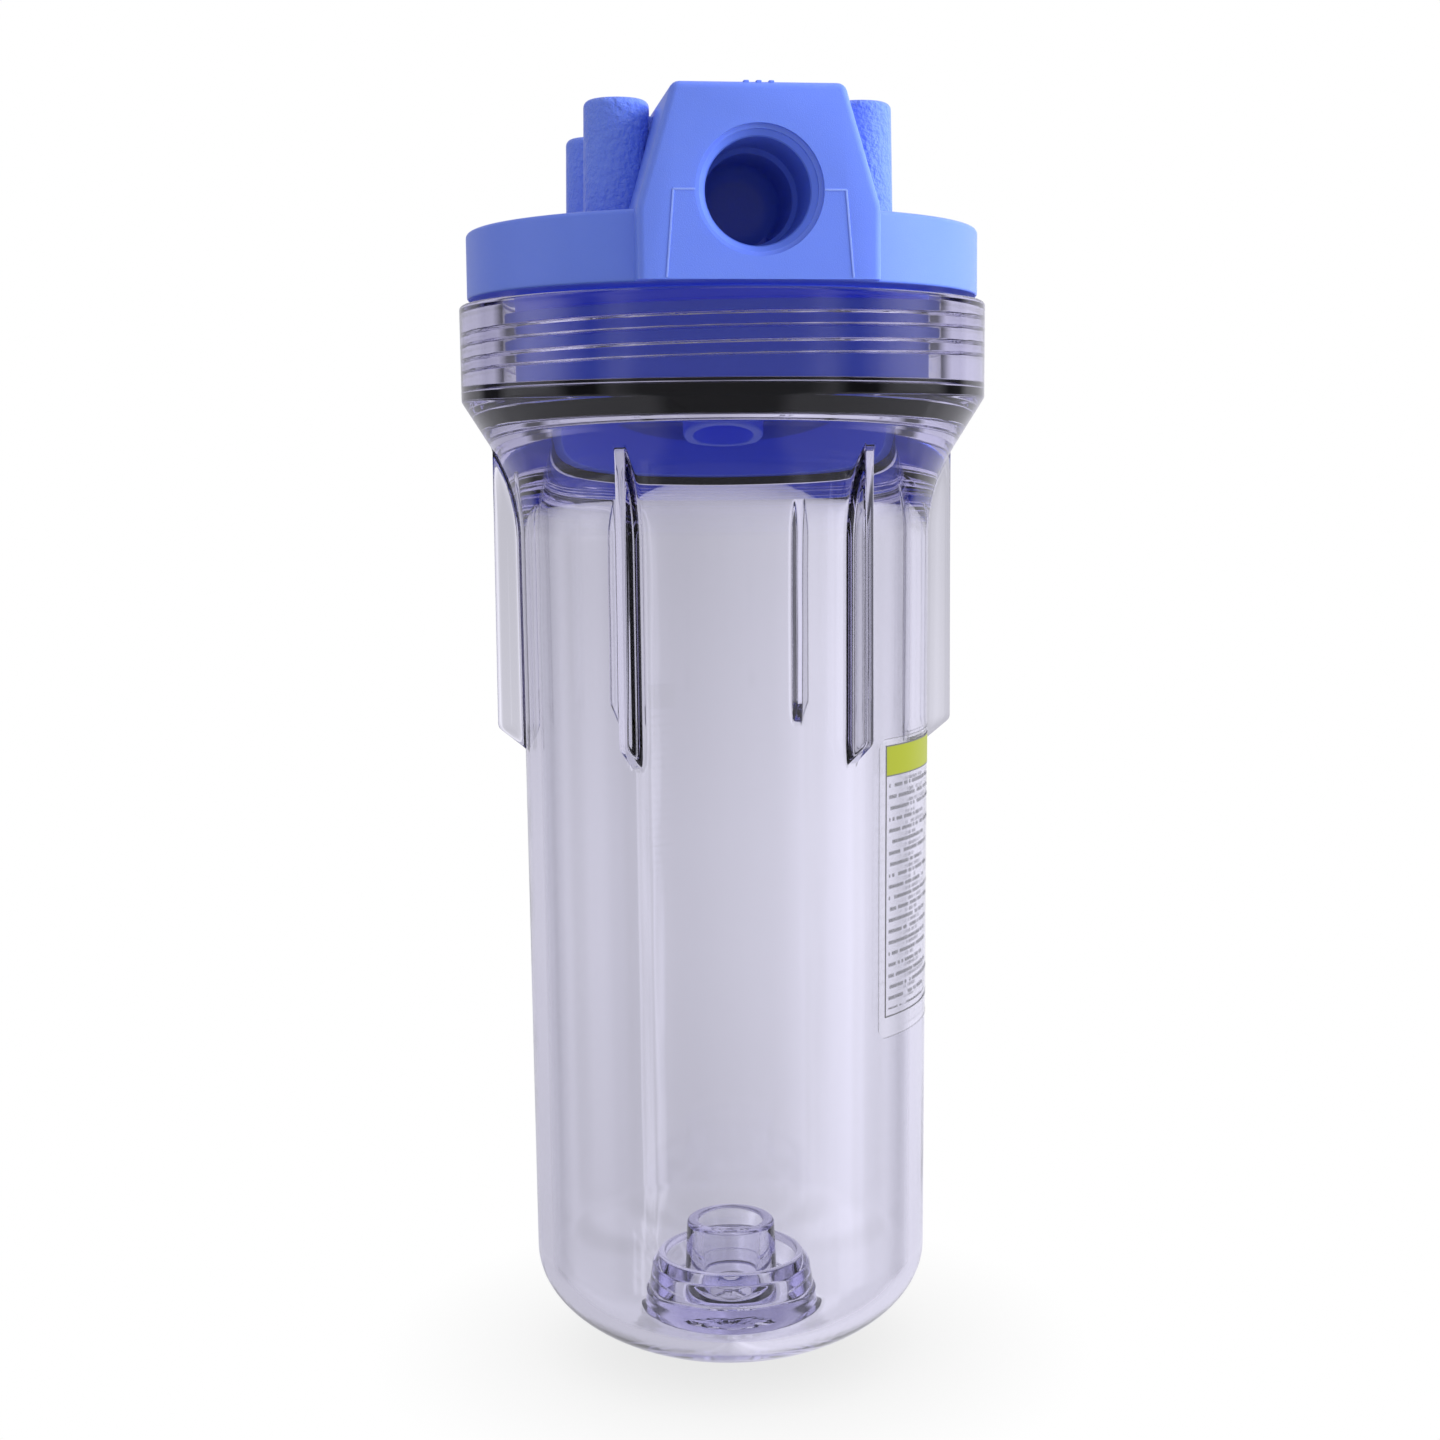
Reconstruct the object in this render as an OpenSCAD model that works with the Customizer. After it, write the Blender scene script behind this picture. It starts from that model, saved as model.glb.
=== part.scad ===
// Standard 10-inch cartridge filter housing: a threaded head with two pipe ports and four
// mounting posts, a clear sump that screws up into it, the sealing ring between them, and a label.
// The origin is on the axis at the sump's lowest point. Ports lie along Y, the inlet at -Y.

/* [Overall] */
// Height from the sump's lowest point to the tops of the mounting posts
total_h = 311.2; // [305:0.1:318]
// Diameter of the sump's threaded collar
collar_d = 130; // [129:0.5:132]

/* [Head] */
// Diameter of the head's flange
flange_d = 126; // [124:0.5:127]
// Height of the flange's underside
flange_z = 268; // [267.5:0.1:269]
// Thickness of the flange
flange_t = 16; // [14:0.1:17]
// Outside diameter of the skirt, at the root of its thread
skirt_d = 102.6; // [102:0.1:103]
// Wall of the skirt
skirt_wall = 7.3; // [6:0.1:8]
// Height of the skirt's lower end
skirt_z = 246.05; // [246:0.05:246.5]
// Height of the ceiling of the chamber inside the head
ceiling_z = 273.9; // [273:0.1:274.5]
// Height of the knife edge that seals on the top of a cartridge
head_seat_z = 272.2; // [271.5:0.1:272.5]

/* [Port block] */
// Length of the block from port face to port face
block_l = 128; // [127:0.5:129]
// Width of the block at its foot
block_w = 54.5; // [50:0.5:58]
// Width of the block at its top
block_top_w = 38.4; // [34:0.2:44]
// Height of the port axis
port_z = 287.4; // [286.5:0.1:288.5]
// Diameter of the hole in each port, the minor diameter of a 3/4 inch pipe thread
port_d = 23.6; // [23.4:0.1:24]
// Length of the threaded part of each port
port_l = 20; // [18:0.5:22]
// Diameter of the recess at the mouth of each port
mouth_d = 28.7; // [27:0.1:30]

/* [Mounting posts] */
// Diameter of each post at its foot
post_d = 15.9; // [14:0.1:17]
// Diameter of each post at its top
post_top_d = 15.1; // [13.5:0.1:16]
// Distance between posts across the block
post_gap_x = 57; // [56:0.5:62]
// Distance between posts along the block
post_gap_y = 62; // [58:0.5:64]
// Diameter of the pilot hole in each post
pilot_d = 5; // [4:0.1:5.5]
// Depth of the pilot hole in each post
pilot_l = 20; // [15:0.5:22]

/* [Sump] */
// Outside diameter of the body just above its domed end
body_d = 100; // [99.5:0.1:101]
// Outside diameter of the body below its shoulder
body_top_d = 102.2; // [102:0.1:103]
// Bore of the sump just above its domed end
bore_d = 92; // [91:0.1:92.4]
// Bore of the sump at its neck
bore_top_d = 94.4; // [94:0.1:94.8]
// Height of the collar's rim
rim_z = 266.6; // [266:0.1:267]
// Height at which the dome meets the body
dome_z = 27.5; // [26:0.5:29]
// Number of ribs
rib_count = 6; // [4:1:8]
// Diameter across the ribs' tips
rib_d = 115.2; // [112:0.2:117]
// Thickness of each rib
rib_t = 2.9; // [2.4:0.1:3.4]
// Angle of the first rib, anticlockwise from +X
rib_start = 238; // [210:1:269]

/* [Thread] */
// Rise of the thread in one turn, 4 turns to the inch
pitch = 6.35; // [6.35:0.01:6.35]
// Height of the thread ridge
ridge_h = 2.6; // [2.4:0.05:2.6]
// Width of the ridge at its crest
ridge_tip_w = 2.0; // [1.6:0.1:2.1]
// Width of the ridge at its root
ridge_root_w = 3.6; // [3.2:0.1:3.6]
// Radial gap between one crest and the other root
thread_gap = 0.5; // [0.4:0.05:0.6]

/* [Sealing ring] */
// Cross-section diameter of the sealing ring
ring_d = 5; // [4.8:0.1:5]
// Radius of the ring's centre line
ring_r = 50; // [49.9:0.05:50.1]
// Gap around the ring, at rest
ring_gap = 0.05; // [0.04:0.01:0.08]

/* [Label] */
// Thickness of the label
label_t = 0.15; // [0.1:0.05:0.3]
// Height of the label's lower edge
label_z = 88.5; // [80:0.5:95]
// Length of the label up the body
label_h = 73.5; // [60:0.5:76]
// Angle that the label wraps
label_wrap = 46; // [40:1:48]
// Angle at which the label starts, anticlockwise from +X
label_start = 308; // [300:1:315]

/* [Hidden] */

$fn = 96;
bite = 0.8;                     // how far an added feature runs into the wall that carries it
reach = 1;                      // how far a cut runs past the surface it starts from
steps_per_turn = 40;            // sections of thread in each turn
fade = 30;                      // angle over which a thread ridge rises from the wall

// Where the parts meet
flange_top = flange_z + flange_t;
skirt_r = skirt_d / 2;
skirt_bore_r = skirt_r - skirt_wall;
thread_root_r = skirt_r + ridge_h + thread_gap;
ring_z = skirt_z - ring_gap - ring_d / 2;
ledge_z = ring_z - ring_d / 2 - ring_gap;
groove_r = ring_r + ring_d / 2 + ring_gap;
neck_z = skirt_z;               // where the plain wall round the ring opens out to the thread
mark_h = 0.5;                   // height of the marks raised on the block's top
block_top = total_h - 0.1 - mark_h;

// The head's ridge crosses +X at this height, and the sump's ridge lies half a pitch away from it
head_thread_z = 252.15;
head_thread_turns = 2.1;
sump_thread_z = head_thread_z - pitch / 2;
sump_thread_from = 0.25;        // turns past +X at which the sump's ridge starts
sump_thread_turns = 2.1;

shoulder_z = 205.5;               // where the drafted body ends and the shoulder begins

// Cartridge seats
seat_r = 19;
outlet_r = 7.8;
outlet_post_r = 10.6;
outlet_post_z = 253.6;

// Points on an arc round centre c, from angle a0 to angle a1
function arc(c, r, a0, a1, n = 5) =
    [for (i = [0 : n]) let (a = a0 + (a1 - a0) * i / n) [c[0] + r * cos(a), c[1] + r * sin(a)]];

// Points on a quarter of an ellipse in the radial plane, from angle a0 to angle a1
function oval(z, r, h, a0, a1, n = 14) =
    [for (i = [0 : n]) let (a = a0 + (a1 - a0) * i / n) [r * cos(a), z + h * sin(a)]];

// Outside radius of the sump's drafted body at a height
function body_r(z) = (body_d + (body_top_d - body_d) * (z - dome_z) / (shoulder_z - dome_z)) / 2;

// A helical ridge standing out of a round wall, fading into it at both ends.
// The ridge grows outwards when side is 1 and inwards when side is -1.
module helical_ridge(wall_r, side, z0, from_turn, turns) {
    steps = round(turns * steps_per_turn);
    fade_steps = fade / 360 * steps_per_turn;
    root_r = wall_r - side * bite;
    flank = (ridge_root_w - ridge_tip_w) / 2 / ridge_h;
    root_half = ridge_root_w / 2 + flank * bite;
    points = [for (i = [0 : steps])
        let (
            turn = from_turn + i / steps_per_turn,
            z = z0 + pitch * turn,
            rise = min(1, min(i, steps - i) / fade_steps),
            tip_h = ridge_h * rise - bite / 2 * (1 - rise),
            tip_r = wall_r + side * tip_h,
            tip_half = root_half - flank * (tip_h + bite)
        )
        each [for (p = [[root_r, -root_half], [tip_r, -tip_half], [tip_r, tip_half], [root_r, root_half]])
            [p[0] * cos(360 * turn), p[0] * sin(360 * turn), z + p[1]]]
    ];
    sides = [for (i = [0 : steps - 1], k = [0 : 3])
        let (a = 4 * i + k, b = 4 * i + (k + 1) % 4)
        each [[a, a + 4, b], [b, a + 4, b + 4]]];
    first = [[0, 1, 2], [0, 2, 3]];
    last = [for (t = first) [for (j = [2, 1, 0]) t[j] + 4 * steps]];
    faces = concat(sides, first, last);
    polyhedron(points, side > 0 ? [for (t = faces) [t[2], t[1], t[0]]] : faces);
}

// ---- Head ----

// Everything on the head that is turned: flange, skirt, chamber, cartridge seat and outlet post
module head_turned() {
    edge = 1.2;
    seat_foot = 1.6;
    rotate_extrude()
        polygon(concat(
            [[0, flange_top], [0, outlet_post_z]],
            [[outlet_post_r - 0.8, outlet_post_z], [outlet_post_r, outlet_post_z + 0.8]],
            [[outlet_post_r + 0.6, ceiling_z]],
            [[seat_r - seat_foot, ceiling_z], [seat_r, head_seat_z], [seat_r + seat_foot, ceiling_z]],
            [[skirt_bore_r - 2, ceiling_z], [skirt_bore_r, ceiling_z - 2]],
            [[skirt_bore_r, skirt_z + 0.6], [skirt_bore_r + 0.6, skirt_z]],
            [[skirt_r - 0.8, skirt_z], [skirt_r, skirt_z + 0.8]],
            [[skirt_r, flange_z]],
            arc([flange_d / 2 - 0.6, flange_z + 0.6], 0.6, -90, 0, 3),
            arc([flange_d / 2 - edge, flange_top - edge], edge, 0, 90)
        ));
}

// The block that carries both ports, standing across the flange and clear of the chamber below
module port_block() {
    crown = 2;
    difference() {
        rotate([90, 0, 0])
            linear_extrude(block_l, center = true)
                polygon(concat(
                    [[-block_w / 2, flange_z], [block_w / 2, flange_z], [block_w / 2, flange_top]],
                    arc([block_top_w / 2 - crown, block_top - crown], crown, 17, 90),
                    arc([crown - block_top_w / 2, block_top - crown], crown, 90, 163),
                    [[-block_w / 2, flange_top]]
                ));
        translate([0, 0, flange_z - reach])
            cylinder(r = skirt_bore_r + bite, h = ceiling_z - flange_z + reach + bite);
    }
}

// One round mounting post, with its top edge rounded
module post() {
    edge = 1.4;
    rotate_extrude()
        polygon(concat(
            [[0, flange_top - bite], [post_d / 2, flange_top - bite]],
            arc([post_top_d / 2 - edge, total_h - edge], edge, 0, 90),
            [[0, total_h]]
        ));
}

// Places its children at the four posts
module at_posts() {
    for (x = [-1, 1], y = [-1, 1])
        translate([x * post_gap_x / 2, y * post_gap_y / 2, 0])
            children();
}

// The low webs that tie the posts to the block
module post_webs() {
    web_t = 5;
    web_h = total_h - 3.7 - flange_top;
    for (y = [-1, 1])
        translate([0, y * post_gap_y / 2, flange_top + web_h / 2 - bite / 2])
            cube([post_gap_x, web_t, web_h + bite], center = true);
}

// A raised arrow on the block's top, pointing from inlet to outlet
module flow_arrow() {
    translate([0, 0, block_top - bite])
        linear_extrude(mark_h + bite)
            polygon([[-2, -20], [2, -20], [2, 8], [7, 8], [0, 20], [-7, 8], [-2, 8]]);
}

// Three short raised bars on the block's top, at the inlet end
module inlet_bars() {
    bar = [0.9, 3.6];
    bar_gap = 2.8;
    for (i = [-1 : 1])
        translate([i * bar_gap - bar[0] / 2, -block_l / 2 + 0.6, block_top - bite])
            cube([bar[0], bar[1], mark_h + bite]);
}

// The hole of one port, from its face inwards along +Y: two shallow steps, a lead-in and the bore
module port_cut() {
    mouth_l = 1.2;
    step_l = 1;
    lead_in_l = 1.5;
    step_d = port_d + 2 * lead_in_l;
    translate([0, -block_l / 2, port_z])
        rotate([-90, 0, 0]) {
            translate([0, 0, -reach])
                cylinder(d = port_d, h = port_l + reach);
            translate([0, 0, -reach])
                cylinder(d = mouth_d, h = mouth_l + reach);
            cylinder(d = step_d, h = mouth_l + step_l);
            translate([0, 0, mouth_l + step_l])
                cylinder(d1 = step_d, d2 = port_d, h = lead_in_l);
        }
}

// The way from the inlet port down into the chamber, outside the cartridge seat
module inlet_passage() {
    passage_r = 10.4;
    window_near = 42;
    window_far = 25;
    window_w = 15;
    from = block_l / 2 - port_l;
    translate([0, -from - reach, port_z])
        rotate([-90, 0, 0])
            cylinder(r = passage_r, h = from - window_far + reach);
    translate([-window_w / 2, -window_near, ceiling_z - reach])
        cube([window_w, window_near - window_far, port_z - ceiling_z + reach]);
}

// The way from the middle of the cartridge seat up and out to the outlet port
module outlet_passage() {
    passage_r = 10.4;
    from = block_l / 2 - port_l;
    translate([0, 0, outlet_post_z - reach])
        cylinder(r = outlet_r, h = port_z - outlet_post_z + reach);
    translate([0, 0, port_z])
        sphere(r = passage_r);
    translate([0, 0, port_z])
        rotate([-90, 0, 0])
            cylinder(r = passage_r, h = from + reach);
}

module head() {
    color("cornflowerblue")
        difference() {
            union() {
                head_turned();
                port_block();
                at_posts() post();
                post_webs();
                flow_arrow();
                inlet_bars();
                helical_ridge(skirt_r, 1, head_thread_z, 0, head_thread_turns);
            }
            for (side = [0, 180])
                rotate([0, 0, side])
                    port_cut();
            inlet_passage();
            outlet_passage();
            at_posts()
                translate([0, 0, total_h - pilot_l])
                    cylinder(d = pilot_d, h = pilot_l + reach);
        }
}

// ---- Sump ----

// The outside of the sump as a solid: dome, drafted body, shoulder and collar
module sump_outside() {
    pole = 0.2;                 // how far the whole dome would dip below the rim of its recess
    rotate_extrude()
        polygon(concat(
            oval(dome_z, body_d / 2, dome_z + pole, -90, 0),
            [[body_top_d / 2, shoulder_z]],
            [[51.5, 213.5], [53.6, 222.5], [57.8, 232]],
            [[collar_d / 2 - 0.2, 243.2], [collar_d / 2, 249]],
            [[collar_d / 2, rim_z - 1.5], [collar_d / 2 - 1.5, rim_z], [0, rim_z]]
        ));
}

// The space inside the sump: bore, ledge for the sealing ring, and the threaded collar's bore
module sump_inside() {
    dome_t = 4;                 // keeps the wall as thick round the dome as in the body
    rotate_extrude()
        polygon(concat(
            [[0, rim_z + reach]],
            oval(dome_z, bore_d / 2, dome_z - dome_t, -90, 0),
            [[bore_top_d / 2, ledge_z], [groove_r, ledge_z]],
            [[groove_r, neck_z], [thread_root_r, neck_z + 1]],
            [[thread_root_r, rim_z - 1], [thread_root_r + 1, rim_z], [thread_root_r + 1, rim_z + reach]]
        ));
}

// The lower cartridge seat: a tapered cup with a hollow post standing in its middle
module sump_seat() {
    root_z = 3;
    cup_top = 24.4;
    post_top = 32.8;
    groove_z = 12;
    rotate_extrude()
        polygon([
            [0, root_z], [22, root_z], [24.8, 7], [23, 8.6], [21.9, 14.6],
            [21.4, 14.6], [20.4, 22], [seat_r, cup_top - 0.2], [seat_r - 1.6, cup_top],
            [16.3, groove_z], [12.1, groove_z], [11.4, post_top - 0.8], [10.6, post_top],
            [8.6, post_top], [6.5, groove_z], [0, groove_z - 1]
        ]);
}

// One rib, from the shoulder down to its chamfered foot
module rib() {
    foot_z = 157.5;
    chamfer_z = 162.5;
    top_z = 237;
    inner_r = 49.2;
    rotate([90, 0, 0])
        linear_extrude(rib_t, center = true)
            polygon([
                [inner_r, foot_z - 1], [body_r(foot_z) - 0.2, foot_z - 1], [rib_d / 2, chamfer_z],
                [rib_d / 2, top_z], [inner_r, top_z]
            ]);
}

module sump() {
    recess_r = 6;
    recess_h = 1.2;
    color("lavender", 0.4)
        difference() {
            union() {
                difference() {
                    union() {
                        sump_outside();
                        for (i = [0 : rib_count - 1])
                            rotate([0, 0, rib_start + i * 360 / rib_count])
                                rib();
                    }
                    sump_inside();
                }
                sump_seat();
                helical_ridge(thread_root_r, -1, sump_thread_z, sump_thread_from, sump_thread_turns);
            }
            translate([0, 0, -reach])
                cylinder(r = recess_r, h = recess_h + reach);
        }
}

// ---- Sealing ring and label ----

module o_ring() {
    color("black")
        translate([0, 0, ring_z])
            rotate_extrude()
                translate([ring_r, 0])
                    circle(d = ring_d);
}

module label() {
    glue = 0.03;
    top = label_z + label_h;
    color("whitesmoke")
        rotate([0, 0, label_start])
            rotate_extrude(angle = label_wrap)
                polygon([
                    [body_r(label_z) + glue, label_z], [body_r(label_z) + glue + label_t, label_z],
                    [body_r(top) + glue + label_t, top], [body_r(top) + glue, top]
                ]);
}

head();
sump();
o_ring();
label();
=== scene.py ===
"""Finished look of a cartridge filter housing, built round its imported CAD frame.

Lengths are millimetres until a mesh is made. Heights are above the sump's lowest point, and
angles run anticlockwise from +X, seen from above, as in the frame.
"""
import math

import bmesh
import bpy
import numpy as np
from mathutils import Matrix, Vector


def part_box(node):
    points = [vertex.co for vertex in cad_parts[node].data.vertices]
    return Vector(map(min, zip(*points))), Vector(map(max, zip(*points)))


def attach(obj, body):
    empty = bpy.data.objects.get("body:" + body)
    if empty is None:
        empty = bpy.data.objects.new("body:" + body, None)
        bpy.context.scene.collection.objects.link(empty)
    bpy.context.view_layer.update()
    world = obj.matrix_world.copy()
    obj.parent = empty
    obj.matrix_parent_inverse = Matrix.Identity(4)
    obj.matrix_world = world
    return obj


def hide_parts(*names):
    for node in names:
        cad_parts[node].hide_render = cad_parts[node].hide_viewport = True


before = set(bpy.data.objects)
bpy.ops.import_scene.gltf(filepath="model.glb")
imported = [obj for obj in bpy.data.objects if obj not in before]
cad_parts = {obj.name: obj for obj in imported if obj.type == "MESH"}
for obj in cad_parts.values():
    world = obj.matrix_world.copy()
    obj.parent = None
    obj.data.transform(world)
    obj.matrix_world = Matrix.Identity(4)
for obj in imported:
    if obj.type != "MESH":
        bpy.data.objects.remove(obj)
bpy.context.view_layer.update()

MM = 0.001
TAU = 2 * math.pi


def node_box(node):
    """Lowest and highest corner of a CAD node, in millimetres."""
    lo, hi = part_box(node)
    return np.array(lo) / MM, np.array(hi) / MM


head_lo, head_hi = node_box("head")
sump_hi = node_box("sump")[1]
ring_lo, ring_hi = node_box("o_ring")
label_lo, label_hi = node_box("label")

# ---- Sizes ----

TOTAL_H = head_hi[2]
RIM_Z = sump_hi[2]
SKIRT_Z = head_lo[2]
BLOCK_L = head_hi[1] - head_lo[1]

FLANGE_R = 63.0
FLANGE_Z = 268.0
FLANGE_TOP = 284.0
SKIRT_R = 51.3
SKIRT_BORE_R = 44.0
CEILING_Z = 273.9
SEAT_R = 19.0
SEAT_Z = 272.2
OUTLET_R = 7.8
OUTLET_POST_R = 10.6
OUTLET_POST_Z = 253.6

BLOCK_W = 54.5
BLOCK_TOP_W = 38.4
MARK_H = 0.5
BLOCK_TOP = TOTAL_H - 0.1 - MARK_H
BLOCK_EDGE = 1.7
PORT_Z = 287.4
PORT_R = 11.8
PORT_L = 20.0
MOUTH_R = 14.35
PASSAGE_R = 10.4

POST_R = 7.95
POST_TOP_R = 7.55
POST_X = 28.5
POST_Y = 31.0
PILOT_R = 2.5
PILOT_L = 20.0

COLLAR_R = 65.0
BODY_R = 50.0
BODY_TOP_R = 51.1
SHOULDER_Z = 205.5
DOME_Z = 27.5
BORE_R = 46.0
BORE_TOP_R = 47.2
INNER_DOME_Z = DOME_Z
INNER_DOME_H = 23.5
RIB_TIP_R = 57.6
RIB_COUNT = 6
RIB_START = math.radians(238)
RIB_FOOT_Z = 157.5
RIB_HALF_ANGLE = math.radians(1.55)

RING_R = 50.0
RING_Z = (ring_lo[2] + ring_hi[2]) / 2
LEDGE_Z = ring_lo[2] - 0.05
GROOVE_R = ring_hi[0] + 0.05
NECK_Z = SKIRT_Z
THREAD_ROOT_R = 54.4

LABEL_START = math.radians(308)
LABEL_WRAP = math.radians(46)
LABEL_T = 0.15
LABEL_GLUE = 0.03
LABEL_CORNER = 3.0

CUP_TOP_Z = 24.4
CUP_SEAM_Z = 14.6
SEAT_FLOOR_Z = 12.2
SEAT_POST_TOP_Z = 32.8

WEB_T = 5.0
WINDOW_W = 15.0
WINDOW_L = 17.0
WINDOW_Y = -33.5
BAR_SPACING = 2.8
LINE_HALF = 0.22
LINE_PROUD = 0.14

PITCH = 6.35
RIDGE_H = 2.6
RIDGE_TIP_HALF = 1.15
RIDGE_ROOT_HALF = 1.65
THREAD_FADE = 30 / 360
HEAD_THREAD_Z = 252.15
SUMP_THREAD_Z = HEAD_THREAD_Z - PITCH / 2

# ---- Camera, seen from the viewer's side ----

VIEW_TURN = math.radians(7.74)
VIEW_DISTANCE = 557.6
VIEW_HEIGHT = 227.7
VIEW_PITCH = math.radians(6.62)
VIEW_ROLL = math.radians(-0.53)
VIEW_SHIFT = -0.0041
LENS_MM = 55.2
SENSOR_MM = 36.0

# ---- Light ----

AMBIENT = 0.78
BACKDROP_TINT = (0.965, 0.955, 1.05)
KEY_POWER = 29
KEY_ANGLE = math.radians(73)
KEY_DISTANCE = 1.2
KEY_AIM_Z = 0.27
# Strength of the painted glow on the skirt and the chamber below the flange
SKIRT_PAINTED_GLOW = 0.12


# ---- Outlines ----

def body_r(z):
    """Outside radius of the sump's drafted body."""
    return BODY_R + (BODY_TOP_R - BODY_R) * (z - DOME_Z) / (SHOULDER_Z - DOME_Z)


def oval(z, r, h, a0, a1, n):
    """Points on an ellipse in the radial plane, with angles in degrees."""
    angles = np.radians(np.linspace(a0, a1, n))
    return [(r * math.cos(a), z + h * math.sin(a), 0) for a in angles]


def rounded(corners, segments=5):
    """Turns (radius, height, fillet) corners into a path of points with an arc at each filleted corner."""
    path = []
    for i, (r, z, fillet) in enumerate(corners):
        here = np.array([r, z])
        if fillet == 0 or i in (0, len(corners) - 1):
            path.append(here)
            continue
        before = np.array(corners[i - 1][:2]) - here
        after = np.array(corners[i + 1][:2]) - here
        before_l, after_l = np.linalg.norm(before), np.linalg.norm(after)
        before, after = before / before_l, after / after_l
        half = math.acos(np.clip(before @ after, -1, 1)) / 2
        reach = min(fillet / math.tan(half), before_l * 0.49, after_l * 0.49)
        radius = reach * math.tan(half)
        centre = here + (before + after) / np.linalg.norm(before + after) * radius / math.sin(half)
        start, end = here + before * reach - centre, here + after * reach - centre
        a0, a1 = math.atan2(start[1], start[0]), math.atan2(end[1], end[0])
        turn = (a1 - a0 + math.pi) % TAU - math.pi
        count = max(2, round(segments * abs(turn) / (math.pi / 2)) + 1, math.ceil(radius * abs(turn) / 1.2))
        for a in np.linspace(a0, a0 + turn, count + 1):
            path.append(centre + radius * np.array([math.cos(a), math.sin(a)]))
    return path


def dense(path, step, margin=0.25):
    """Splits long stretches so that no piece is longer than step(point), with a short piece at each end."""
    out = [np.array(path[0])]
    for a, b in zip(path[:-1], path[1:]):
        a, b = np.array(a), np.array(b)
        length = np.linalg.norm(b - a)
        if length < 1e-6:
            continue
        marks = [0.0]
        if length > 3:
            marks += [margin / length, 1 - margin / length]
        marks.append(1.0)
        fine = [0.0]
        for m0, m1 in zip(marks[:-1], marks[1:]):
            middle = a + (b - a) * (m0 + m1) / 2
            pieces = max(1, math.ceil((m1 - m0) * length / step(middle)))
            fine += [m0 + (m1 - m0) * k / pieces for k in range(1, pieces + 1)]
        out += [a + (b - a) * f for f in fine[1:]]
    return out


def smooth(x):
    """An S-curve from 0 to 1."""
    x = np.clip(x, 0, 1)
    return x * x * (3 - 2 * x)


def ridge_height(z, angle, z0, first, last):
    """Height of a helical ridge above its wall, at a height and an angle."""
    turn = (angle % TAU) / TAU
    along = (z - z0) / PITCH - turn
    whole = np.round(along)
    offset = np.abs(along - whole) * PITCH
    profile = smooth((RIDGE_ROOT_HALF - offset) / (RIDGE_ROOT_HALF - RIDGE_TIP_HALF))
    place = whole + turn
    fade = smooth((place - first) / THREAD_FADE) * smooth((last - place) / THREAD_FADE)
    return RIDGE_H * profile * fade


# ---- Meshes ----

def make_object(name, vertices, faces):
    mesh = bpy.data.meshes.new(name)
    mesh.from_pydata([tuple(v) for v in vertices], [], [tuple(f) for f in faces])
    mesh.update()
    obj = bpy.data.objects.new(name, mesh)
    bpy.context.scene.collection.objects.link(obj)
    for polygon in mesh.polygons:
        polygon.use_smooth = True
    return obj


def lathe(name, path, angles, warp=None, closed=False):
    """Turns a path round the axis. warp(radius, height, angle) may move the points radially.

    An open path starts and ends on the axis, and each end becomes one vertex.
    """
    path = np.array(path)
    rows = path if closed else path[1:-1]
    count = len(angles)
    radius = np.repeat(rows[:, :1], count, axis=1)
    height = np.repeat(rows[:, 1:], count, axis=1)
    angle = np.repeat(angles[None, :], len(rows), axis=0)
    if warp:
        radius = warp(radius, height, angle)
    points = np.stack([radius * np.cos(angle), radius * np.sin(angle), height], axis=2).reshape(-1, 3)
    i, j = np.meshgrid(np.arange(len(rows) - (not closed)), np.arange(count), indexing="ij")
    up, across = (i + 1) % len(rows), (j + 1) % count
    quads = np.stack([i * count + j, i * count + across, up * count + across, up * count + j], axis=2)
    faces = quads.reshape(-1, 4).tolist()
    if not closed:
        points = np.vstack([points, [0, 0, path[0][1]], [0, 0, path[-1][1]]])
        first, last = len(points) - 2, len(points) - 1
        end = (len(rows) - 1) * count
        faces += [[first, (k + 1) % count, k] for k in range(count)]
        faces += [[last, end + k, end + (k + 1) % count] for k in range(count)]
    return make_object(name, points * MM, faces)


def flip_outward(obj):
    bm = bmesh.new()
    bm.from_mesh(obj.data)
    bmesh.ops.recalc_face_normals(bm, faces=bm.faces)
    bm.to_mesh(obj.data)
    bm.free()


def apply_modifiers(obj):
    graph = bpy.context.evaluated_depsgraph_get()
    mesh = bpy.data.meshes.new_from_object(obj.evaluated_get(graph))
    obj.modifiers.clear()
    obj.data = mesh


def combine(obj, others, operation):
    """Joins or cuts with a list of closed meshes, which are then removed."""
    group = bpy.data.collections.new("operands")
    bpy.context.scene.collection.children.link(group)
    for other in others:
        flip_outward(other)
        group.objects.link(other)
    boolean = obj.modifiers.new("boolean", "BOOLEAN")
    boolean.operation = operation
    boolean.operand_type = "COLLECTION"
    boolean.collection = group
    boolean.solver = "EXACT"
    apply_modifiers(obj)
    for other in others:
        bpy.data.objects.remove(other)
    bpy.data.collections.remove(group)


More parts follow.
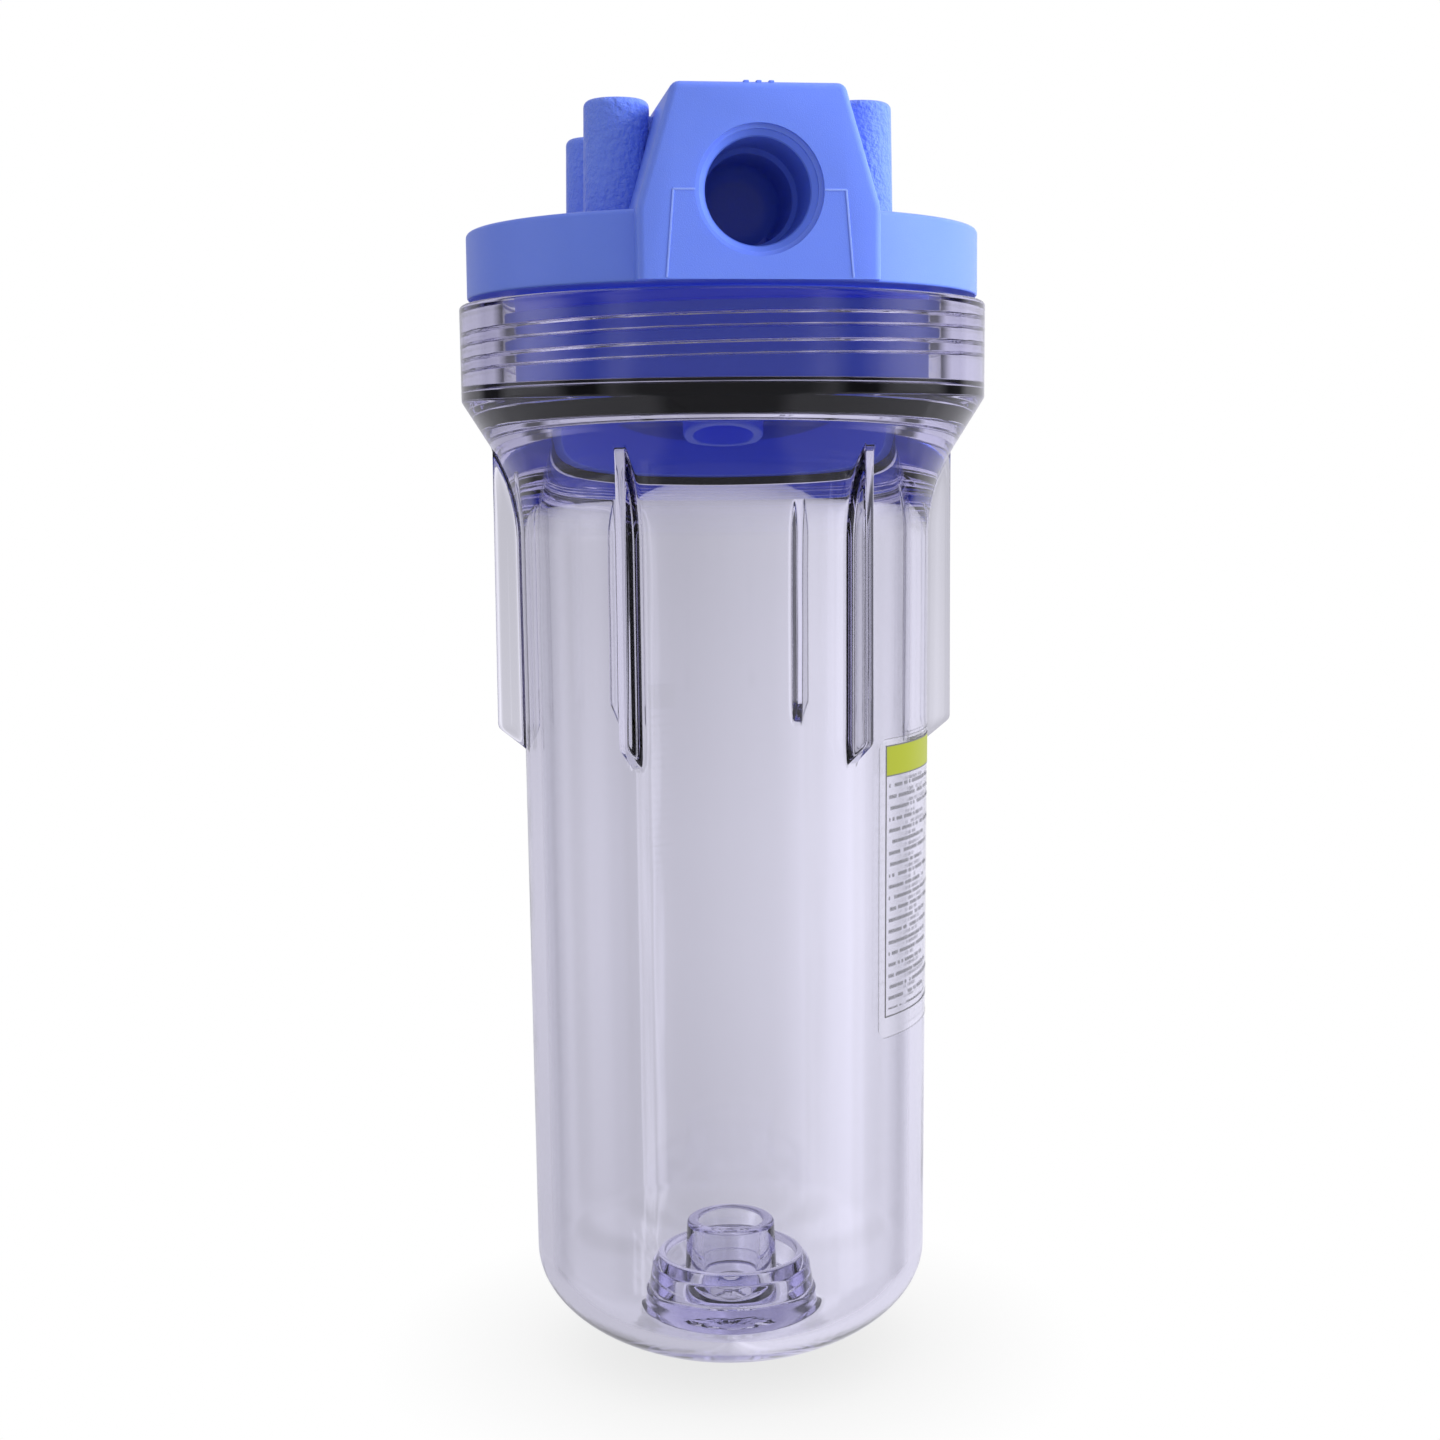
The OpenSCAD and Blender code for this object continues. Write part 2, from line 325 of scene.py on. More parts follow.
def rounded_prism(name, outline, length, edge, place, keep_foot=False):
    """A convex outline in X and Z, pushed along Y, with its edges rounded, or all but those of its foot."""
    bm = bmesh.new()
    ends = []
    for y in (-length / 2, length / 2):
        ends.append([bm.verts.new((x * MM, y * MM, z * MM)) for x, z in outline])
    bm.faces.new(ends[0])
    bm.faces.new(ends[1][::-1])
    count = len(outline)
    for k in range(count):
        n = (k + 1) % count
        bm.faces.new((ends[0][n], ends[0][k], ends[1][k], ends[1][n]))
    bmesh.ops.recalc_face_normals(bm, faces=bm.faces)
    foot = min(z for x, z in outline) * MM + 1e-6
    edges = [e for e in bm.edges if not (keep_foot and max(v.co.z for v in e.verts) < foot)]
    bmesh.ops.bevel(bm, geom=edges, offset=edge * MM, segments=4, profile=0.5, affect="EDGES")
    bmesh.ops.translate(bm, verts=bm.verts, vec=Vector(place) * MM)
    mesh = bpy.data.meshes.new(name)
    bm.to_mesh(mesh)
    bm.free()
    obj = bpy.data.objects.new(name, mesh)
    bpy.context.scene.collection.objects.link(obj)
    return obj


def even_angles(count):
    return np.arange(count) * TAU / count


# ---- Sump ----

def rib_angles():
    """Column angles round the sump, crowded at each rib's flanks."""
    near = np.radians([0, 0.8, 1.15, 1.3, 1.42, 1.55, 1.68, 1.82, 2.0, 2.4, 3.1])
    offsets = np.concatenate([-near[:0:-1], near])
    pitch = TAU / RIB_COUNT
    between = np.linspace(near[-1], pitch - near[-1], 26)[1:-1]
    one = np.concatenate([offsets, between])
    angles = [RIB_START + k * pitch + one for k in range(RIB_COUNT)]
    return np.concatenate(angles)


def rib_lift(radius, height, angle):
    """How far a rib stands out of the sump's outside, at each point."""
    pitch = TAU / RIB_COUNT
    across = (angle - RIB_START + pitch / 2) % pitch - pitch / 2
    spread = 1 / (1 + (np.abs(across) / RIB_HALF_ANGLE) ** 16)
    foot = BODY_R + (height - RIB_FOOT_Z + 1.2) * 1.25
    tip = RIB_TIP_R - np.log1p(np.exp((RIB_TIP_R - foot) * 3)) / 3
    return np.maximum(tip - radius, 0) * spread


def sump_outside():
    corners = [
        (0, 0.5, 0), (1.8, 0.7, 0.3), (3.2, 1.9, 0.5), (5.6, 1.7, 0.5), (6.3, 0.12, 0.4),
        *oval(DOME_Z, BODY_R, DOME_Z + 0.2, -80, 0, 44),
        (body_r(RIB_FOOT_Z - 3), RIB_FOOT_Z - 3, 0), (body_r(RIB_FOOT_Z + 10), RIB_FOOT_Z + 10, 0),
        (51.2, 221.5, 45), (COLLAR_R - 0.1, 243.3, 1.5), (COLLAR_R, RIM_Z, 1.0),
    ]
    return corners


def sump_inside():
    return [
        (THREAD_ROOT_R + 0.9, RIM_Z, 0.4), (THREAD_ROOT_R, RIM_Z - 1, 0.3),
        (THREAD_ROOT_R, NECK_Z + 1.0, 0.3), (GROOVE_R, NECK_Z + 0.1, 0.3),
        (GROOVE_R, LEDGE_Z, 0.9), (BORE_TOP_R, LEDGE_Z, 0.6),
        *oval(INNER_DOME_Z, BORE_R, INNER_DOME_H, 0, -57, 32),
        (24.3, 7.4, 0.4), (22.9, 8.7, 0.9), (21.7, CUP_SEAM_Z - 0.3, 0.1), (22.2, CUP_SEAM_Z, 0.08),
        (21.5, CUP_SEAM_Z + 0.3, 0.1), (20.5, 21.8, 1.6), (18.4, CUP_TOP_Z, 1.2), (17.0, CUP_TOP_Z, 0.8),
        (16.4, SEAT_FLOOR_Z, 2.2), (12.2, SEAT_FLOOR_Z, 1.6), (11.3, SEAT_POST_TOP_Z, 1.1),
        (8.3, SEAT_POST_TOP_Z, 0.9), (6.6, SEAT_FLOOR_Z + 0.2, 2.0), (0, SEAT_FLOOR_Z - 1, 0),
    ]


def build_sump():
    corners = sump_outside() + sump_inside()

    def step(point):
        r, z = point
        outer = r > GROOVE_R + 0.5 or (r > BORE_TOP_R + 0.5 and z < LEDGE_Z - 0.5)
        if r < THREAD_ROOT_R + 0.5 and z > NECK_Z - 1:
            return 0.22
        if outer and RIB_FOOT_Z - 3 < z < RIB_FOOT_Z + 10:
            return 0.7
        if outer and 205 < z < 246:
            return 1.6
        if r < 26:
            return 1.2
        return 8.0

    path = dense(rounded(corners), step)
    rim = max(range(len(path)), key=lambda k: path[k][1] + path[k][0] * 1e-3)
    side = np.zeros((len(path) - 2, 1))
    side[: rim - 1] = 1

    def warp(radius, height, angle):
        lift = rib_lift(radius, height, angle) * side
        torn = (height < 2.4) & (radius < 6.4) & (side == 1)
        radius = radius * (1 + torn * 0.16 * (np.sin(3 * angle) + 0.6 * np.sin(7 * angle + 1)
                                              + 0.35 * np.sin(17 * angle + height * 3)))
        near_thread = (radius > GROOVE_R - 0.01) & (height > LEDGE_Z + 4) & (side == 0)
        crest = THREAD_ROOT_R - ridge_height(height, angle, SUMP_THREAD_Z, 0.25, 2.35)
        return np.where(near_thread, np.minimum(radius, crest), radius + lift)

    sump = lathe("sump_shell", path, rib_angles(), warp)
    flip_outward(sump)
    return sump


# ---- Head ----

def head_turned():
    corners = [
        (0, FLANGE_TOP, 0), (FLANGE_R, FLANGE_TOP, 1.1), (FLANGE_R, FLANGE_Z, 0.6),
        (SKIRT_R, FLANGE_Z, 0.3), (SKIRT_R, SKIRT_Z, 0.7), (SKIRT_BORE_R, SKIRT_Z, 0.6),
        (SKIRT_BORE_R, CEILING_Z, 2.0), (SEAT_R + 1.6, CEILING_Z, 0.5), (SEAT_R, SEAT_Z, 0.15),
        (SEAT_R - 1.6, CEILING_Z, 0.5), (OUTLET_POST_R + 0.6, CEILING_Z, 1.0),
        (OUTLET_POST_R, OUTLET_POST_Z, 0.8), (OUTLET_R, OUTLET_POST_Z, 0.5),
        (OUTLET_R, PORT_Z - 5, 0), (0, PORT_Z - 5, 0),
    ]

    def step(point):
        r, z = point
        if abs(r - SKIRT_R) < 0.6 and z < FLANGE_Z:
            return 0.25
        return 6.0

    def warp(radius, height, angle):
        on_skirt = (np.abs(radius - SKIRT_R) < 0.01) & (height < FLANGE_Z - 0.2)
        return radius + ridge_height(height, angle, HEAD_THREAD_Z, 0, 2.1) * on_skirt

    turned = lathe("head_shell", dense(rounded(corners), step), even_angles(216), warp)
    flip_outward(turned)
    return turned


def turned_along(name, corners, place, turn=None, count=64):
    """A small turned solid, stood at a place, with an optional turn of its axis."""
    obj = lathe(name, rounded(corners), even_angles(count))
    spin = turn or Matrix.Identity(4)
    obj.data.transform(Matrix.Translation(Vector(place) * MM) @ spin)
    return obj


def post(x, y):
    corners = [
        (0, FLANGE_TOP - 2, 0), (POST_R, FLANGE_TOP - 2, 0),
        (POST_TOP_R, TOTAL_H, 1.7), (0, TOTAL_H, 0),
    ]
    return turned_along("post", corners, (x, y, 0), count=72)


def port_cutter(side):
    """The shape of one port: mouth recess, step, lead-in and bore, then the passage behind."""
    face = BLOCK_L / 2
    far = face - 23 if side > 0 else face + 6
    corners = [
        (0, -2, 0), (MOUTH_R, -2, 0), (MOUTH_R, 1.2, 0.15), (PORT_R + 1.5, 1.35, 0.15),
        (PORT_R + 1.5, 2.2, 0.2), (PORT_R, 3.7, 0.4), (PORT_R - 0.2, PORT_L - 1, 0.4),
        (PASSAGE_R, PORT_L, 0.4), (PASSAGE_R, far, 6), (0, far, 0),
    ]
    inward = Matrix.Rotation(math.radians(-90), 4, "X")
    around = Matrix.Rotation(0 if side > 0 else math.pi, 4, "Z")
    place = Vector((0, -face, 0)) if side > 0 else Vector((0, face, 0))
    return turned_along("port", corners, (place.x, place.y, PORT_Z), around @ inward, count=128)


def flow_arrow():
    """The raised arrow on the block's top, pointing from inlet to outlet."""
    outline = [(-2, -20), (2, -20), (2, 8), (7, 8), (0, 20), (-7, 8), (-2, 8)]
    low = [(x, y, BLOCK_TOP - 1) for x, y in outline]
    high = [(x * 0.97, y * 0.99, BLOCK_TOP + MARK_H) for x, y in outline]
    count = len(outline)
    faces = [list(range(count))[::-1], list(range(count, 2 * count))]
    faces += [[k, (k + 1) % count, count + (k + 1) % count, count + k] for k in range(count)]
    return make_object("arrow", np.array(low + high) * MM, faces)


def strip(start, end, face_y):
    """A thin raised line on a port face, between two (x, z) points."""
    (x0, z0), (x1, z1) = start, end
    length = math.hypot(x1 - x0, z1 - z0)
    line = [(-LINE_HALF, -length / 2), (LINE_HALF, -length / 2), (LINE_HALF, length / 2),
            (-LINE_HALF, length / 2)]
    obj = rounded_prism("strip", line, 2 * LINE_PROUD, 0.05, (0, 0, 0))
    tilt = Matrix.Rotation(math.atan2(x1 - x0, z1 - z0), 4, "Y")
    obj.data.transform(Matrix.Translation(Vector(((x0 + x1) / 2, face_y, (z0 + z1) / 2)) * MM) @ tilt)
    return obj


def parting_lines():
    """Mould parting lines: out from each port at its centre height, then down to the block's foot."""
    lines = []
    for face in (-BLOCK_L / 2, BLOCK_L / 2):
        for side in (-1, 1):
            corner, foot = (side * 19.2, PORT_Z), (side * 20.8, FLANGE_Z + 0.4)
            lines.append(strip((side * (MOUTH_R - 0.5), PORT_Z), corner, face))
            lines.append(strip(corner, foot, face))
    return lines


def build_head():
    head = head_turned()
    block = [
        (-BLOCK_W / 2, FLANGE_Z + 0.05), (BLOCK_W / 2, FLANGE_Z + 0.05), (BLOCK_W / 2, FLANGE_TOP - 0.4),
        (BLOCK_TOP_W / 2, BLOCK_TOP), (-BLOCK_TOP_W / 2, BLOCK_TOP), (-BLOCK_W / 2, FLANGE_TOP - 0.4),
    ]
    added = [rounded_prism("block", block, BLOCK_L, BLOCK_EDGE, (0, 0, 0), keep_foot=True)]
    chamber = [(0, FLANGE_Z - 2, 0), (SKIRT_BORE_R + 1, FLANGE_Z - 2, 0),
               (SKIRT_BORE_R + 1, CEILING_Z + 1, 0), (0, CEILING_Z + 1, 0)]
    combine(added[0], [turned_along("chamber", chamber, (0, 0, 0), count=96)], "DIFFERENCE")
    web_top = TOTAL_H - 3.7
    web = [(-POST_X, FLANGE_TOP - 2), (POST_X, FLANGE_TOP - 2), (POST_X, web_top), (-POST_X, web_top)]
    for y in (-POST_Y, POST_Y):
        added.append(rounded_prism("web", web, WEB_T, 0.6, (0, y, 0)))
        for x in (-POST_X, POST_X):
            added.append(post(x, y))
    for k in (-1, 0, 1):
        bar = [(-0.75, BLOCK_TOP - 1), (0.75, BLOCK_TOP - 1), (0.6, BLOCK_TOP + 0.3), (-0.6, BLOCK_TOP + 0.3)]
        added.append(rounded_prism("bar", bar, 3.6, 0.2, (BAR_SPACING * k, 2.6 - BLOCK_L / 2, 0)))
    added.append(flow_arrow())
    added += parting_lines()
    combine(head, added, "UNION")
    cut = [port_cutter(1), port_cutter(-1)]
    window = [(-WINDOW_W / 2, CEILING_Z - 1), (WINDOW_W / 2, CEILING_Z - 1), (WINDOW_W / 2, PORT_Z),
              (-WINDOW_W / 2, PORT_Z)]
    cut.append(rounded_prism("window", window, WINDOW_L, 0.6, (0, WINDOW_Y, 0)))
    outlet = [(0, PORT_Z - 8, 0), (OUTLET_R, PORT_Z - 8, 0), (OUTLET_R, PORT_Z, 0), (0, PORT_Z, 0)]
    cut.append(turned_along("outlet", outlet, (0, 0, 0)))
    for x in (-POST_X, POST_X):
        for y in (-POST_Y, POST_Y):
            pilot = [(0, TOTAL_H - PILOT_L, 0), (PILOT_R, TOTAL_H - PILOT_L, 0), (PILOT_R, TOTAL_H + 1, 0),
                     (0, TOTAL_H + 1, 0)]
            cut.append(turned_along("pilot", pilot, (x, y, 0), count=32))
    combine(head, cut, "DIFFERENCE")
    head.data.shade_smooth()
    mark_sharp(head, 40)
    return head


def mark_sharp(obj, degrees):
    bm = bmesh.new()
    bm.from_mesh(obj.data)
    limit = math.radians(degrees)
    for edge in bm.edges:
        edge.smooth = len(edge.link_faces) == 2 and edge.calc_face_angle() < limit
    for face in bm.faces:
        face.smooth = True
    bm.to_mesh(obj.data)
    bm.free()


# ---- Ring and label ----

def build_ring():
    """The greased seal, pressed flat on the groove's wall, the ledge and the skirt's end."""
    reach = GROOVE_R + 0.06
    path = rounded([
        (RING_R - 2.4, RING_Z, 0), (RING_R - 2.4, LEDGE_Z + 0.02, 1.6), (reach, LEDGE_Z + 0.02, 0.9),
        (reach, SKIRT_Z - 0.02, 0.5), (RING_R - 2.4, SKIRT_Z - 0.02, 1.6), (RING_R - 2.4, RING_Z, 0),
    ], segments=8)[:-1]

    def warp(radius, height, angle):
        wave = np.sin(5 * angle + 1) + 0.7 * np.sin(13 * angle) + 0.5 * np.sin(31 * angle + 2)
        low = smooth((LEDGE_Z + 0.7 - height) / 0.6)
        return radius - low * (0.25 + 0.1 * wave) * (radius > RING_R)

    ring = lathe("seal_ring", path, even_angles(256), warp, closed=True)
    flip_outward(ring)
    return ring


def build_label():
    """A thin film with rounded corners, wrapped round the body.

    Its UVs are millimetres from its lower left corner.
    """
    height = label_hi[2] - label_lo[2]
    width = LABEL_WRAP * body_r(label_lo[2])
    corner = np.sin(np.linspace(0, math.pi / 2, 9)) * LABEL_CORNER
    straight = np.linspace(LABEL_CORNER, height - LABEL_CORNER, 14)[1:-1]
    ups = np.concatenate([LABEL_CORNER - corner[::-1], straight, height - LABEL_CORNER + corner])
    acrosses = np.linspace(0, 1, 40)
    vertices, uvs = [], []
    for up in ups:
        short = max(0.0, LABEL_CORNER - up, LABEL_CORNER - (height - up))
        inset = LABEL_CORNER - math.sqrt(max(0.0, LABEL_CORNER ** 2 - short ** 2))
        for across in acrosses:
            along = inset + (width - 2 * inset) * across
            angle = LABEL_START + along / width * LABEL_WRAP
            radius = body_r(label_lo[2] + up) + LABEL_GLUE
            vertices.append((radius * math.cos(angle) * MM, radius * math.sin(angle) * MM,
                             (label_lo[2] + up) * MM))
            uvs.append((along, up))
    count = len(acrosses)
    faces = []
    for i in range(len(ups) - 1):
        for j in range(count - 1):
            faces.append((i * count + j, i * count + j + 1, (i + 1) * count + j + 1, (i + 1) * count + j))
    label = make_object("label_film", vertices, faces)
    layer = label.data.uv_layers.new(name="print")
    for loop in label.data.loops:
        layer.data[loop.index].uv = uvs[loop.vertex_index]
    solid = label.modifiers.new("thickness", "SOLIDIFY")
    solid.thickness = LABEL_T * MM
    solid.offset = 1
    apply_modifiers(label)
    return label


# ---- Materials ----

class Shader:
    """A node tree, with short ways to add and join nodes."""

    def __init__(self, owner, output_kind):
        owner.use_nodes = True
        self.nodes = owner.node_tree.nodes
        self.links = owner.node_tree.links
        self.nodes.clear()
        self.output = self.add(output_kind)

    def add(self, kind, **settings):
        node = self.nodes.new(kind)
        for key, value in settings.items():
            setattr(node, key, value)
        return node

    def put(self, value, socket):
        if isinstance(value, bpy.types.NodeSocket):
            self.links.new(value, socket)
        else:
            socket.default_value = value

    def math(self, operation, a, b=0.0, c=0.0, clamp=False):
        node = self.add("ShaderNodeMath", operation=operation, use_clamp=clamp)
        for value, socket in zip((a, b, c), node.inputs):
            self.put(value, socket)
        return node.outputs[0]

    def between(self, value, low, high, soft):
        """1 where value lies between low and high, with soft edges."""
        up = self.math("MULTIPLY_ADD", value, 1 / soft, 0.5 - low / soft, clamp=True)
        down = self.math("MULTIPLY_ADD", value, -1 / soft, 0.5 + high / soft, clamp=True)
        return self.math("MULTIPLY", up, down)

    def distance(self, a, b):
        """Length of the step (a, b)."""
        squares = self.math("ADD", self.math("MULTIPLY", a, a), self.math("MULTIPLY", b, b))
        return self.math("SQRT", squares)

    def noise(self, vector, scale, detail=2.0, rough=0.5):
        node = self.add("ShaderNodeTexNoise")
        self.put(vector, node.inputs["Vector"])
        node.inputs["Scale"].default_value = scale
        node.inputs["Detail"].default_value = detail
        node.inputs["Roughness"].default_value = rough
        return node.outputs["Fac"]

    def mix_color(self, factor, a, b):
        node = self.add("ShaderNodeMix", data_type="RGBA")
        self.put(factor, node.inputs["Factor"])
        self.put(a, node.inputs["A"])
        self.put(b, node.inputs["B"])
        return node.outputs["Result"]

    def bump(self, height, strength, distance):
        node = self.add("ShaderNodeBump")
        self.put(height, node.inputs["Height"])
        node.inputs["Strength"].default_value = strength
        node.inputs["Distance"].default_value = distance
        return node.outputs["Normal"]

    def where(self):
        return self.add("ShaderNodeTexCoord").outputs["Object"]


def new_material(name):
    """A blank material, and the shader that fills its node tree."""
    material = bpy.data.materials.new(name)
    return material, Shader(material, "ShaderNodeOutputMaterial")


def rgb(r, g, b):
    """An opaque colour, as the node sockets want it."""
    return (r, g, b, 1.0)


def blue_plastic():
    """Satin blue polypropylene: pebbled posts, faint mottling, painted highlights on the parting lines,
    painted shade in the ports and a painted glow on the skirt and the chamber.
    """
    material, s = new_material("blue_plastic")
    where = s.where()
    split = s.add("ShaderNodeSeparateXYZ")
    s.put(where, split.inputs[0])
    x, y, z = split.outputs["X"], split.outputs["Y"], split.outputs["Z"]
    off_x = s.math("SUBTRACT", s.math("ABSOLUTE", x), POST_X * MM)
    off_y = s.math("SUBTRACT", s.math("ABSOLUTE", y), POST_Y * MM)
    off = s.distance(off_x, off_y)
    on_posts = s.math("MULTIPLY", s.math("LESS_THAN", off, (POST_R + 0.15) * MM),
                      s.between(z, FLANGE_TOP * MM, 0.4, 0.001))
    grain = s.noise(where, 650, 2.0, 0.6)
    fine = s.noise(where, 4200, 2.0)
    pebbles = s.math("MULTIPLY", grain, 1.6)
    height = s.math("MULTIPLY_ADD", pebbles, on_posts, s.math("MULTIPLY", fine, 0.10))
    mottle = s.noise(where, 60, 3.0)
    shade = s.mix_color(mottle, rgb(0.126, 0.218, 0.81), rgb(0.140, 0.236, 0.85))
    # Painted shade: inside the port bores the blue is mixed darker, standing in for the shadow of their
    # threads and depth
    height_off = s.math("SUBTRACT", z, PORT_Z * MM)
    port_off = s.distance(x, height_off)
    port_painted_shade = s.math("LESS_THAN", port_off, (PORT_R + 0.3) * MM)
    shade = s.mix_color(port_painted_shade, shade, rgb(0.085, 0.150, 0.62))
    # Painted highlight: the raised parting lines are mixed towards a pale blue, as if they catch the light
    parting_painted_highlight = s.math("GREATER_THAN", s.math("ABSOLUTE", y), (BLOCK_L / 2 + 0.03) * MM)
    shade = s.mix_color(s.math("MULTIPLY", parting_painted_highlight, 0.45), shade, rgb(0.36, 0.48, 0.95))
    bsdf = s.add("ShaderNodeBsdfPrincipled")
    s.put(shade, bsdf.inputs["Base Color"])
    s.put(s.math("MULTIPLY_ADD", fine, 0.08, 0.36), bsdf.inputs["Roughness"])
    bsdf.inputs["IOR"].default_value = 1.49
    bsdf.inputs["Subsurface Weight"].default_value = 0.12
    bsdf.inputs["Subsurface Radius"].default_value = (0.3, 0.5, 1.5)
    bsdf.inputs["Subsurface Scale"].default_value = 0.002
    s.put(s.bump(height, 0.6, 0.0009), bsdf.inputs["Normal"])
    # Painted light: a weak blue emission brightens the skirt and the chamber below the flange, standing in
    # for light that reaches them through the clear collar
    bsdf.inputs["Emission Color"].default_value = rgb(0.03, 0.06, 1.0)
    inside = s.math("LESS_THAN", z, (FLANGE_Z + 0.1) * MM)
    s.put(s.math("MULTIPLY", inside, SKIRT_PAINTED_GLOW), bsdf.inputs["Emission Strength"])
    s.put(bsdf.outputs[0], s.output.inputs["Surface"])
    return material


def clear_plastic():
    """Clear moulded plastic, slightly wavy, with a violet cast that deepens with thickness."""
    material, s = new_material("clear_plastic")
    where = s.where()
    wavy = s.noise(where, 35, 1.0)
    streaks = s.add("ShaderNodeMapping")
    s.put(where, streaks.inputs["Vector"])
    streaks.inputs["Scale"].default_value = (1, 1, 0.08)
    streak = s.noise(streaks.outputs[0], 220, 1.0)
    height = s.math("MULTIPLY_ADD", streak, 0.12, wavy)
    bsdf = s.add("ShaderNodeBsdfPrincipled")
    bsdf.inputs["Base Color"].default_value = rgb(0.985, 0.985, 0.995)
    bsdf.inputs["Roughness"].default_value = 0.015
    bsdf.inputs["IOR"].default_value = 1.57
    bsdf.inputs["Transmission Weight"].default_value = 1.0
    s.put(s.bump(height, 0.12, 0.0006), bsdf.inputs["Normal"])
    s.put(bsdf.outputs[0], s.output.inputs["Surface"])
    tint = s.add("ShaderNodeVolumeAbsorption")
    tint.inputs["Color"].default_value = rgb(0.10, 0.02, 0.66)
    tint.inputs["Density"].default_value = 13.0
    s.put(tint.outputs[0], s.output.inputs["Volume"])
    return material


def seal_rubber():
    """Greased black rubber, mostly glossy, with dull patches where the grease is thin."""
    material, s = new_material("seal_rubber")
    where = s.where()
    patches = s.noise(where, 90, 3.0)
    bsdf = s.add("ShaderNodeBsdfPrincipled")
    s.put(s.mix_color(patches, rgb(0.003, 0.003, 0.003), rgb(0.009, 0.009, 0.009)),
          bsdf.inputs["Base Color"])
    s.put(s.math("MULTIPLY_ADD", patches, 0.4, 0.12), bsdf.inputs["Roughness"])
    bsdf.inputs["IOR"].default_value = 1.15
    s.put(bsdf.outputs[0], s.output.inputs["Surface"])
    return material


def label_print():
    """Clear film with a thin black frame, a blank header band and grey rules in place of print."""
    material, s = new_material("label_print")
    height = label_hi[2] - label_lo[2]
    width = math.degrees(LABEL_WRAP) / 360 * TAU * body_r(label_lo[2])
    margin, top_margin, low_margin, band, line = 2.6, 1.7, 5.1, 7.3, 0.3
    uv = s.add("ShaderNodeUVMap", uv_map="print").outputs[0]
    split = s.add("ShaderNodeSeparateXYZ")
    s.put(uv, split.inputs[0])
    u, v = split.outputs["X"], split.outputs["Y"]

    def panel(u0, u1, v0, v1):
        return s.math("MULTIPLY", s.between(u, u0, u1, 0.06), s.between(v, v0, v1, 0.06))

    top = height - top_margin
    outer = panel(margin, width - margin, low_margin, top)
    inner = panel(margin + line, width - margin - line, low_margin + line, top - line)
    edge = s.math("SUBTRACT", outer, inner, clamp=True)
    header = panel(margin + line, width - margin - line, top - band, top - line)
    header_rule = panel(margin, width - margin, top - band - line, top - band)
    row = s.math("DIVIDE", v, 2.75)
    in_row = s.between(s.math("FRACT", row), 0.36, 0.66, 0.1)
    row_number = s.math("FLOOR", row)
    length_noise = s.add("ShaderNodeTexWhiteNoise", noise_dimensions="1D")
    s.put(row_number, length_noise.inputs["W"])
    row_end = s.math("MULTIPLY_ADD", length_noise.outputs["Value"], -12.0, width - margin - 3)
    in_text = s.math("MULTIPLY", in_row, s.math("LESS_THAN", u, row_end))
    cell = s.add("ShaderNodeCombineXYZ")
    s.put(s.math("FLOOR", s.math("DIVIDE", u, 0.9)), cell.inputs["X"])
    s.put(row_number, cell.inputs["Y"])
    gaps = s.add("ShaderNodeTexWhiteNoise", noise_dimensions="2D")
    s.put(cell.outputs[0], gaps.inputs["Vector"])
    in_text = s.math("MULTIPLY", in_text, s.math("GREATER_THAN", gaps.outputs["Value"], 0.18))
    in_text = s.math("MULTIPLY", in_text, panel(margin + 1.4, width - margin - 1.4, low_margin + 1.8,
                                                top - band - 1.2))
    film_edge = s.math("SUBTRACT", 1.0, panel(0.25, width - 0.25, 0.25, height - 0.25))
    dark = s.math("MAXIMUM", s.math("MAXIMUM", edge, header_rule), s.math("MULTIPLY", in_text, 0.5))
    paint = s.mix_color(header, rgb(0.10, 0.10, 0.11), rgb(0.235, 0.265, 0.014))
    cover = s.math("MAXIMUM", s.math("MAXIMUM", dark, s.math("MULTIPLY", header, 0.97)),
                   s.math("MULTIPLY", film_edge, 0.25))
    ink = s.add("ShaderNodeBsdfPrincipled")
    s.put(paint, ink.inputs["Base Color"])
    ink.inputs["Roughness"].default_value = 0.45
    film = s.add("ShaderNodeBsdfPrincipled")
    film.inputs["Base Color"].default_value = rgb(0.7, 0.7, 0.73)
    film.inputs["Roughness"].default_value = 0.25
    film.inputs["Alpha"].default_value = 0.05
    mix = s.add("ShaderNodeMixShader")
    s.put(cover, mix.inputs[0])
    s.put(film.outputs[0], mix.inputs[1])
    s.put(ink.outputs[0], mix.inputs[2])
    s.put(mix.outputs[0], s.output.inputs["Surface"])
    return material


def dress(piece, material, body, node):
    piece.data.materials.clear()
    piece.data.materials.append(material)
    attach(piece, body)
    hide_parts(node)


# ---- Studio ----

